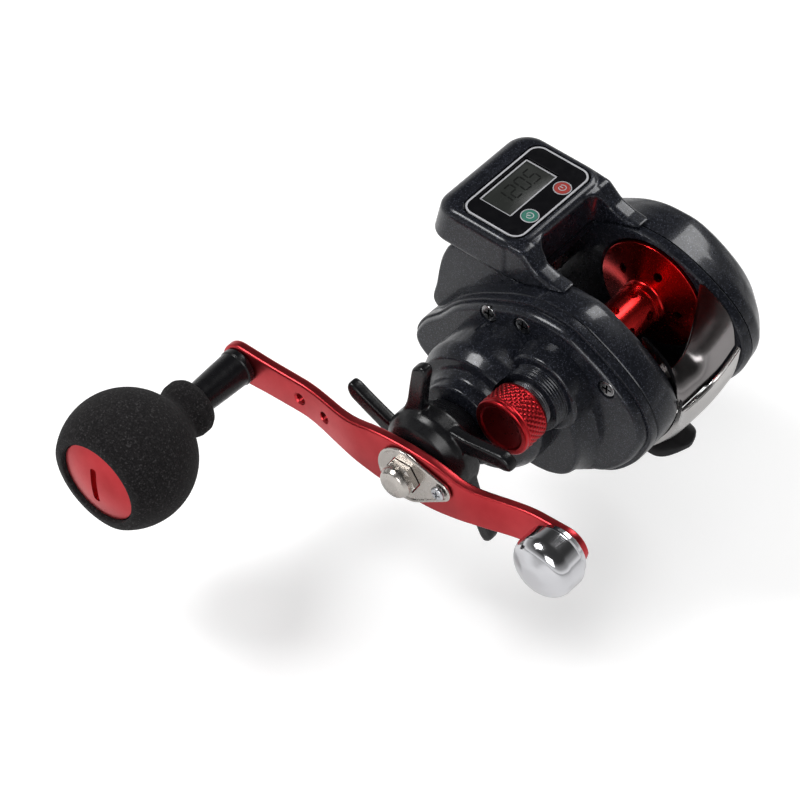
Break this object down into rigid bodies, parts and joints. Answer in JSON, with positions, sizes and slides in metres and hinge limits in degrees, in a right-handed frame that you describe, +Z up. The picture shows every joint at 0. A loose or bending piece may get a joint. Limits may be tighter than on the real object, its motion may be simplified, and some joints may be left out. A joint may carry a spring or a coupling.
{
  "type": "digital baitcasting reel",
  "caption": "Low-profile baitcasting reel with a digital line counter, star drag, cast control cap and a cranked handle with a foam ball grip and counterweight.",
  "frame": {"origin": "on the flat strip under the reel foot, straight under the spool's middle", "axes": "+Z up from the rod, +Y forward where the line leaves, -X the handle side, with the spool along X"},
  "size_m": [0.1636, 0.1435, 0.0674],
  "materials": {
    "body_paint": "dark gunmetal gloss with fine flake",
    "housing_plastic": "dark gloss moulding",
    "black_gloss": "black gloss",
    "black_matte": "black satin",
    "red_anodised": "red anodised",
    "chrome": "mirror plated",
    "steel": "turned steel",
    "brass": "cut brass",
    "foam": "matte foam with fine speckle",
    "carbon": "woven drag washer",
    "circuit": "coated board",
    "lcd": "grey-green display glass",
    "green_button": "green",
    "red_button": "orange red"
  },
  "bodies": {
    "body": {"frame": "body_paint", "reel_foot": "black_gloss", "foot_screw_rear": "steel", "foot_screw_front": "steel", "handle_side_cover": "body_paint", "side_screw_front": "steel", "side_screw_middle": "steel", "side_screw_rear": "steel", "palm_side_cover": "body_paint", "brake_magnets": "steel", "rear_cover": "chrome", "yoke_post_upper": "steel", "yoke_post_lower": "steel", "counter_housing": "housing_plastic", "display_panel": "black_gloss", "lcd_module": "lcd", "circuit_board": "circuit", "coin_battery": "steel", "battery_door": "black_matte", "spool_bearing_palm": "steel", "spool_bearing_handle": "steel", "pinion_bearing": "steel", "drive_shaft_bearing": "steel", "one_way_bearing": "steel", "guide_bar": "steel"},
    "crank": {"drive_shaft": "steel", "drive_gear": "brass", "ratchet_wheel": "steel", "drag_washer": "carbon", "pressure_plate": "steel", "spring_washer": "steel", "drive_sleeve": "steel", "levelwind_drive_gear": "black_matte", "handle_arm": "red_anodised", "handle_nut": "chrome", "nut_retainer": "chrome", "retainer_screw": "steel", "counterweight": "chrome", "counterweight_screw": "steel", "knob_spindle": "steel"},
    "knob": {"knob_bearing": "steel", "knob_sleeve": "black_gloss", "knob_grip": "foam", "knob_cap": "red_anodised"},
    "star": {"star_drag": "black_gloss"},
    "spool": {"spool": "red_anodised", "spool_shaft": "steel"},
    "clutch": {"clutch_yoke": "black_matte"},
    "pinion": {"pinion_gear": "brass"},
    "worm": {"worm_shaft": "steel", "levelwind_driven_gear": "black_matte"},
    "guide": {"line_guide": "black_matte", "line_guide_pawl": "brass"},
    "thumb": {"thumb_bar": "chrome", "clutch_cam": "steel"},
    "cap": {"cast_control_cap": "red_anodised", "cap_shim": "black_matte"},
    "dial": {"brake_dial": "black_matte"},
    "power": {"power_button": "green_button"},
    "reset": {"reset_button": "red_button"}
  },
  "joints": [
    {"name": "crank_turn", "type": "hinge", "parent": "body", "child": "crank", "pos_m": [0, 0.01628, 0.02164], "axis": [1, 0, 0], "continuous": true},
    {"name": "knob_spin", "type": "hinge", "parent": "crank", "child": "knob", "pos_m": [0, 0.07989, 0.01831], "axis": [1, 0, 0], "continuous": true},
    {"name": "star_turn", "type": "hinge", "parent": "crank", "child": "star", "pos_m": [0, 0.01628, 0.02164], "axis": [1, 0, 0], "range_deg": [-360, 360]},
    {"name": "spool_spin", "type": "hinge", "parent": "body", "child": "spool", "pos_m": [0, 0, 0.034], "axis": [1, 0, 0], "continuous": true},
    {"name": "clutch_slide", "type": "slide", "parent": "body", "child": "clutch", "axis": [-1, 0, 0], "range_m": [0, 0.002]},
    {"name": "pinion_spin", "type": "hinge", "parent": "clutch", "child": "pinion", "pos_m": [0, 0, 0.034], "axis": [1, 0, 0], "continuous": true},
    {"name": "worm_turn", "type": "hinge", "parent": "body", "child": "worm", "pos_m": [0, 0.03111, 0.03112], "axis": [1, 0, 0], "continuous": true},
    {"name": "guide_slide", "type": "slide", "parent": "body", "child": "guide", "axis": [1, 0, 0], "range_m": [-0.0094, 0.0094]},
    {"name": "thumb_press", "type": "slide", "parent": "body", "child": "thumb", "axis": [0, 0, -1], "range_m": [0, 0.003]},
    {"name": "cap_turn", "type": "hinge", "parent": "body", "child": "cap", "pos_m": [0, 0, 0.034], "axis": [1, 0, 0], "range_deg": [-360, 360]},
    {"name": "dial_turn", "type": "hinge", "parent": "body", "child": "dial", "pos_m": [0, -0.003, 0.032], "axis": [1, 0, 0], "range_deg": [-150, 150]},
    {"name": "power_press", "type": "slide", "parent": "body", "child": "power", "axis": [0, 0, -1], "range_m": [0, 0.0005], "stiffness_N_per_m": 300, "springref_m": -0.0005},
    {"name": "reset_press", "type": "slide", "parent": "body", "child": "reset", "axis": [0, 0, -1], "range_m": [0, 0.0005], "stiffness_N_per_m": 300, "springref_m": -0.0005}
  ],
  "couplings": [
    {"joint": "spool_spin", "follows": "crank_turn", "ratio": -6.3},
    {"joint": "pinion_spin", "follows": "crank_turn", "ratio": -6.3},
    {"joint": "worm_turn", "follows": "crank_turn", "ratio": -1.5882},
    {"joint": "clutch_slide", "follows": "thumb_press", "ratio": 0.66667}
  ]
}
